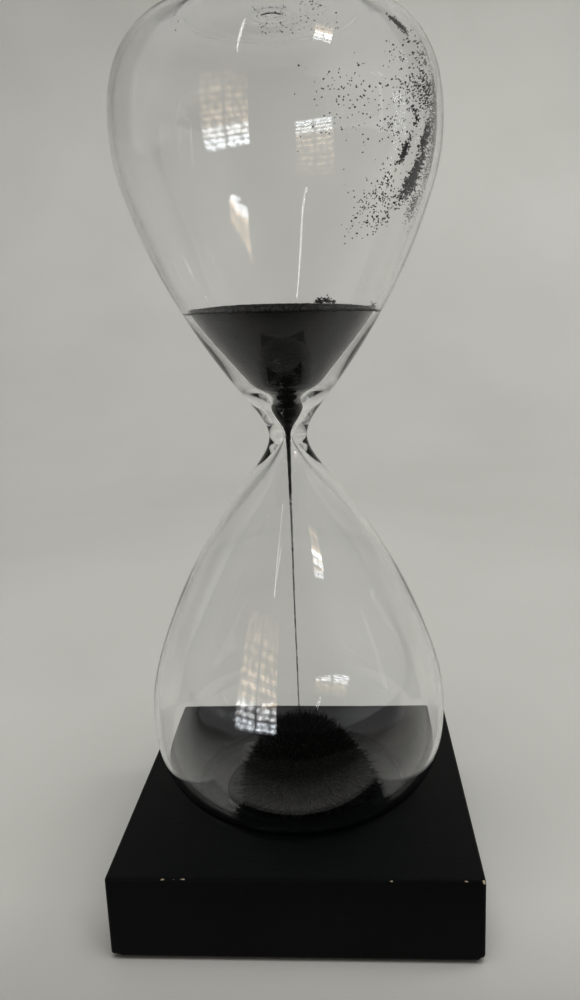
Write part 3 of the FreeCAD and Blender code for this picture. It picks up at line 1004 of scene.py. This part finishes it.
def foot_strands():
    rng = np.random.default_rng(61)
    share, angle = scattered(rng, 1500, 0.0, 0.08)
    points, normals = mound_surface(share, angle)
    out = np.stack([np.cos(angle), np.sin(angle), rng.uniform(-0.25, 0.12, len(angle))], 1)
    ways = unit(out + 0.22 * rng.normal(size=out.shape))
    lengths = rng.uniform(1.2, 4.2, len(points))
    widths = rng.uniform(0.3, 0.5, len(points))
    roots = points - ways * 0.4
    piece = strands("foot_strands", roots, ways, lengths, widths, rng, 4, (0.0, 0.8), 0.0, inside_glass)
    # The foot takes the shaded copy of the iron: painted shade for the dark band under the flank.
    return iron_piece(piece, MOUND_IRON_PAINTED_SHADE, "mound", "foot_spikes")


FLOOR_GRAINS = 260


def mound_grains():
    """Single grains that sit between the strands and lie on the glass floor around them."""
    rng = np.random.default_rng(67)
    share, angle = scattered(rng, 2600, 0.02, 0.999)
    points, normals = mound_surface(share, angle)
    points = points + normals * rng.uniform(0.3, 1.3, (len(points), 1))
    angle = rng.uniform(0, 2 * math.pi, FLOOR_GRAINS)
    reach = 15.5 + np.abs(rng.normal(size=FLOOR_GRAINS)) * 1.6
    centre = np.array(MOUND_FOOT_CENTRE)
    x, y = centre[0] + reach * np.cos(angle), centre[1] + reach * np.sin(angle)
    on_floor = np.stack([x, y, np.full(FLOOR_GRAINS, 0.25)], 1)
    places = inside_glass(np.concatenate([points, on_floor]))
    sizes = rng.uniform(0.16, 0.36, len(places))
    piece = grains("mound_grains", places + np.outer(0.3 * sizes, (0, 0, 1)), sizes, rng, (0.0, 1.0))
    return iron_piece(piece, MOUND_IRON_PAINTED_SHADE, "mound")


# ================================================================ stage


def floor_material():
    """A pale matt sweep. Its colour carries painted light, a little brighter up the back, and painted shade,
    falling away to dark in front of the object.
    """
    material, tree, shader = shader_nodes("pale_floor")
    place = object_place(tree)
    at = add(tree, "SeparateXYZ")
    tree.links.new(place, at.inputs["Vector"])
    clouds = noise_at(tree, place, 5.0, 3.0, 0.5)
    cloth = ramp(tree, clouds, ((0.35, (0.585, 0.58, 0.545)), (0.65, (0.625, 0.62, 0.585))))

    def fade(axis, low, high, dim, full):
        node = add(tree, "MapRange", interpolation_type="SMOOTHSTEP")
        for key, value in (("From Min", low), ("From Max", high), ("To Min", dim), ("To Max", full)):
            node.inputs[key].default_value = value
        tree.links.new(at.outputs[axis], node.inputs["Value"])
        return node.outputs["Result"]

    # Painted shade: the floor's colour falls away to dark towards the front, for the shadow in front of the
    # object.
    front = ramp(
        tree,
        fade("Y", -0.2, 0.0, 0.0, 1.0),
        ((0.16, grey(0.03)), (0.21, grey(0.1)), (0.5, grey(0.12)), (0.86, grey(0.72)), (0.97, grey(0.88))),
    )
    both = add(tree, "Math", operation="MULTIPLY")
    tree.links.new(front, both.inputs[0])
    # Painted light: the sweep's colour grows brighter up the back.
    tree.links.new(fade("Z", -0.05, 0.35, 0.86, 1.12), both.inputs[1])
    shaded = blend(tree, "MULTIPLY", cloth, both.outputs["Value"])
    tree.links.new(shaded, shader.inputs["Base Color"])
    shader.inputs["Roughness"].default_value = 0.95
    shader.inputs["Specular IOR Level"].default_value = 0.1
    return material


def stage():
    sweep = []
    width = 3.0
    front, back, rise, bend = -1.2, 0.9, 2.4, 0.5
    sweep.append((front, 0.0))
    for i in range(25):
        angle = math.pi / 2 * i / 24
        sweep.append((back - bend + bend * math.sin(angle), bend - bend * math.cos(angle)))
    sweep.append((back, rise))
    verts = [(x, y, z) for y, z in sweep for x in (-width, width)]
    faces = [(2 * i, 2 * i + 1, 2 * i + 3, 2 * i + 2) for i in range(len(sweep) - 1)]
    floor = mesh_piece("floor", verts, faces)
    floor.data.materials.append(floor_material())


def area_light(name, place, aim, size, power, colour=(1, 1, 1)):
    data = bpy.data.lights.new(name, "AREA")
    data.shape = "RECTANGLE"
    data.size, data.size_y = size
    data.energy = power
    data.color = colour
    light = bpy.data.objects.new(name, data)
    light.location = place
    light.rotation_euler = (Vector(aim) - Vector(place)).to_track_quat("-Z", "Y").to_euler()
    bpy.context.scene.collection.objects.link(light)
    return light


def window_light(name, place, aim, size, power, panes, slats, shaded):
    """A soft window: bright panes below, and above them the warmer slats of a half-drawn blind. shaded is how
    bright it stays where leaves stand in front of it."""
    light = area_light(name, place, aim, size, power)
    light.data.use_nodes = True
    tree = light.data.node_tree
    place = add(tree, "NewGeometry").outputs["Parametric"]
    at = add(tree, "SeparateXYZ")
    tree.links.new(place, at.inputs["Vector"])
    rows = add(tree, "Math", operation="MULTIPLY")
    rows.inputs[1].default_value = slats
    tree.links.new(at.outputs["Y"], rows.inputs[0])
    fraction = add(tree, "Math", operation="FRACT")
    tree.links.new(rows.outputs["Value"], fraction.inputs[0])
    slat_stops = ((0.0, grey(0.35)), (0.45, grey(1.0)), (0.9, grey(0.35)))
    blind = ramp(tree, fraction.outputs["Value"], slat_stops, stepped=True)
    bar_stops = ((0.0, grey(1.0)), (panes - 0.03, grey(0.12)), (panes + 0.03, grey(1.0)))
    bars = ramp(tree, at.outputs["X"], bar_stops, stepped=True)
    glow_stops = (
        (0.0, (0.9, 0.95, 1.0)),
        (0.16, (0.1, 0.1, 0.1)),
        (0.18, (0.7, 0.7, 0.7)),
        (0.36, (0.22, 0.17, 0.12)),
        (0.62, (0.13, 0.095, 0.06)),
        (0.85, (0.06, 0.045, 0.03)),
    )
    glow = ramp(tree, at.outputs["Y"], glow_stops, stepped=True)
    leaves = add(tree, "TexNoise", Scale=9.0, Detail=3.0)
    tree.links.new(place, leaves.inputs["Vector"])
    broken = ramp(tree, leaves.outputs["Fac"], ((0.44, grey(shaded)), (0.58, grey(1.2))))
    window = blend(tree, "MULTIPLY", blend(tree, "MULTIPLY", blend(tree, "MULTIPLY", glow, blind), bars), broken)
    tree.links.new(window, tree.nodes["Emission"].inputs["Color"])
    return light


def studio_air():
    """Even pale light all round, a little weaker from the left, that falls away to dark over a wide part of the
    room in front."""
    world = bpy.data.worlds.new("studio")
    world.use_nodes = True
    tree = world.node_tree
    background = tree.nodes["Background"]
    way = add(tree, "TexCoord").outputs["Generated"]
    facing = add(tree, "VectorMath", operation="DOT_PRODUCT")
    facing.inputs[1].default_value = unit(np.array((-0.26, -0.95, 0.1)))
    tree.links.new(way, facing.inputs[0])
    room = ramp(tree, facing.outputs["Value"], ((0.45, grey(1.0)), (0.74, grey(0.1))))
    parts = add(tree, "SeparateXYZ")
    tree.links.new(way, parts.inputs["Vector"])
    sides = add(tree, "MapRange")
    for key, value in (("From Min", -1.0), ("From Max", 1.0), ("To Min", 0.84), ("To Max", 1.0)):
        sides.inputs[key].default_value = value
    tree.links.new(parts.outputs["X"], sides.inputs["Value"])
    strength = add(tree, "Math", operation="MULTIPLY")
    tree.links.new(room, strength.inputs[0])
    tree.links.new(sides.outputs["Result"], strength.inputs[1])
    level = add(tree, "Math", operation="MULTIPLY")
    level.inputs[1].default_value = 0.52
    tree.links.new(strength.outputs["Value"], level.inputs[0])
    background.inputs["Color"].default_value = (0.96, 0.97, 1.0, 1)
    tree.links.new(level.outputs["Value"], background.inputs["Strength"])
    bpy.context.scene.world = world


def lights():
    studio_air()
    middle = (0, 0, 0.1)
    ceiling = area_light("ceiling", (0.15, -0.25, 1.9), (0, 0.25, 0.3), (1.6, 1.2), 28.5)
    daylight = area_light("daylight", (0.9, 0.25, 0.75), (0, 0, 0), (0.3, 0.3), 1.8)
    for light in (ceiling, daylight):
        light.visible_glossy = False
        light.visible_transmission = False
    window_light("window", (-0.29, -0.547, 0.205), (0, 0, 0.15), (0.34, 0.4), 6.5, 0.5, 12.0, 0.3)
    skylight = window_light("skylight", (0.53, -0.57, 0.88), middle, (0.18, 0.2), 3.5, 0.5, 2.0, 1.0)
    skylight.rotation_euler.rotate_axis("Z", math.radians(-25))
    area_light("tube", (-0.28, -0.77, 0.98), middle, (0.016, 0.5), 0.2)
    area_light("side_strip", (0.87, -0.23, 0.25), middle, (0.02, 0.3), 0.02)


def camera():
    data = bpy.data.cameras.new("camera")
    data.lens = CAMERA_LENS
    data.sensor_width = 36.0
    data.clip_start = 0.01
    view = bpy.data.objects.new("camera", data)
    heading = Matrix.Rotation(math.radians(CAMERA_HEADING), 4, "Z")
    tilt = Matrix.Rotation(math.radians(CAMERA_TILT), 4, "X")
    roll = Matrix.Rotation(math.radians(CAMERA_ROLL), 4, "Z")
    view.matrix_world = Matrix.Translation(CAMERA_PLACE) @ heading @ tilt @ roll
    bpy.context.scene.collection.objects.link(view)
    bpy.context.scene.camera = view


def look():
    scene = bpy.context.scene
    scene.view_settings.view_transform = "Standard"
    scene.view_settings.gamma = 0.87
    scene.cycles.caustics_reflective = False
    scene.cycles.caustics_refractive = False
    scene.cycles.max_bounces = 24
    scene.cycles.transmission_bounces = 24
    scene.cycles.transparent_max_bounces = 24


PAINT = paint_material()
BED_IRON = filings_material(
    "bed_iron",
    dark=(0.0012, 0.0014, 0.0013),
    light=(0.0042, 0.0046, 0.0043),
    painted_glint=(0.016, 0.017, 0.016),
)
# A lit copy of the iron: its lighter colour is painted light, for the grains on the bed's top lit from above;
# the stray grains share it.
GRAIN_IRON_PAINTED_LIGHT = filings_material(
    "grain_iron_painted_light",
    dark=(0.004, 0.0042, 0.004),
    light=(0.055, 0.056, 0.052),
    painted_glint=(0.14, 0.14, 0.13),
)
# A shaded copy of the mound's iron: its darker colour is painted shade, where upright spikes on the cap, body,
# foot and grains trap the light.
MOUND_IRON_PAINTED_SHADE = filings_material(
    "mound_iron_painted_shade",
    dark=(0.0006, 0.00055, 0.0005),
    light=(0.0034, 0.0028, 0.0024),
    painted_glint=(0.10, 0.085, 0.075),
)
# A lit copy of the same iron: its lighter colour is painted light, the sheen of flank strands lying side-on to
# the lamps.
FLANK_IRON_PAINTED_LIGHT = filings_material(
    "flank_iron_painted_light",
    dark=(0.0012, 0.0013, 0.0013),
    light=(0.02, 0.021, 0.021),
    painted_glint=(0.12, 0.122, 0.12),
)
FELT = plain_material("felt", (0.012, 0.012, 0.012), (0.03, 0.03, 0.03), 2500.0, 0.92, 0.0003)
FERRITE = plain_material("ferrite", (0.05, 0.05, 0.05), (0.09, 0.09, 0.09), 1400.0, 0.55, 0.00005)
FIBREBOARD = plain_material("fibreboard", (0.36, 0.25, 0.15), (0.5, 0.37, 0.24), 1100.0, 0.85, 0.0001)
NODE_MATERIALS = {
    "black_paint": PAINT,
    "magnet": FERRITE,
    "plug": FIBREBOARD,
    "felt": FELT,
    "filings": BED_IRON,
}

camera()
look()
stage()
lights()
glass_piece()
block_piece()
fill_piece()
bed_grains()
stream_piece()
clinging_grains()
end_grains()
stray_grains()
mound_body()
cap_spikes()
flank_strands()
foot_strands()
mound_grains()

for subpart in frame["record"]["subparts"]:
    material = NODE_MATERIALS.get(subpart["material_slot"])
    if material is not None:
        node = frame["nodes"][subpart["node"]]
        node.data.materials.clear()
        node.data.materials.append(material)
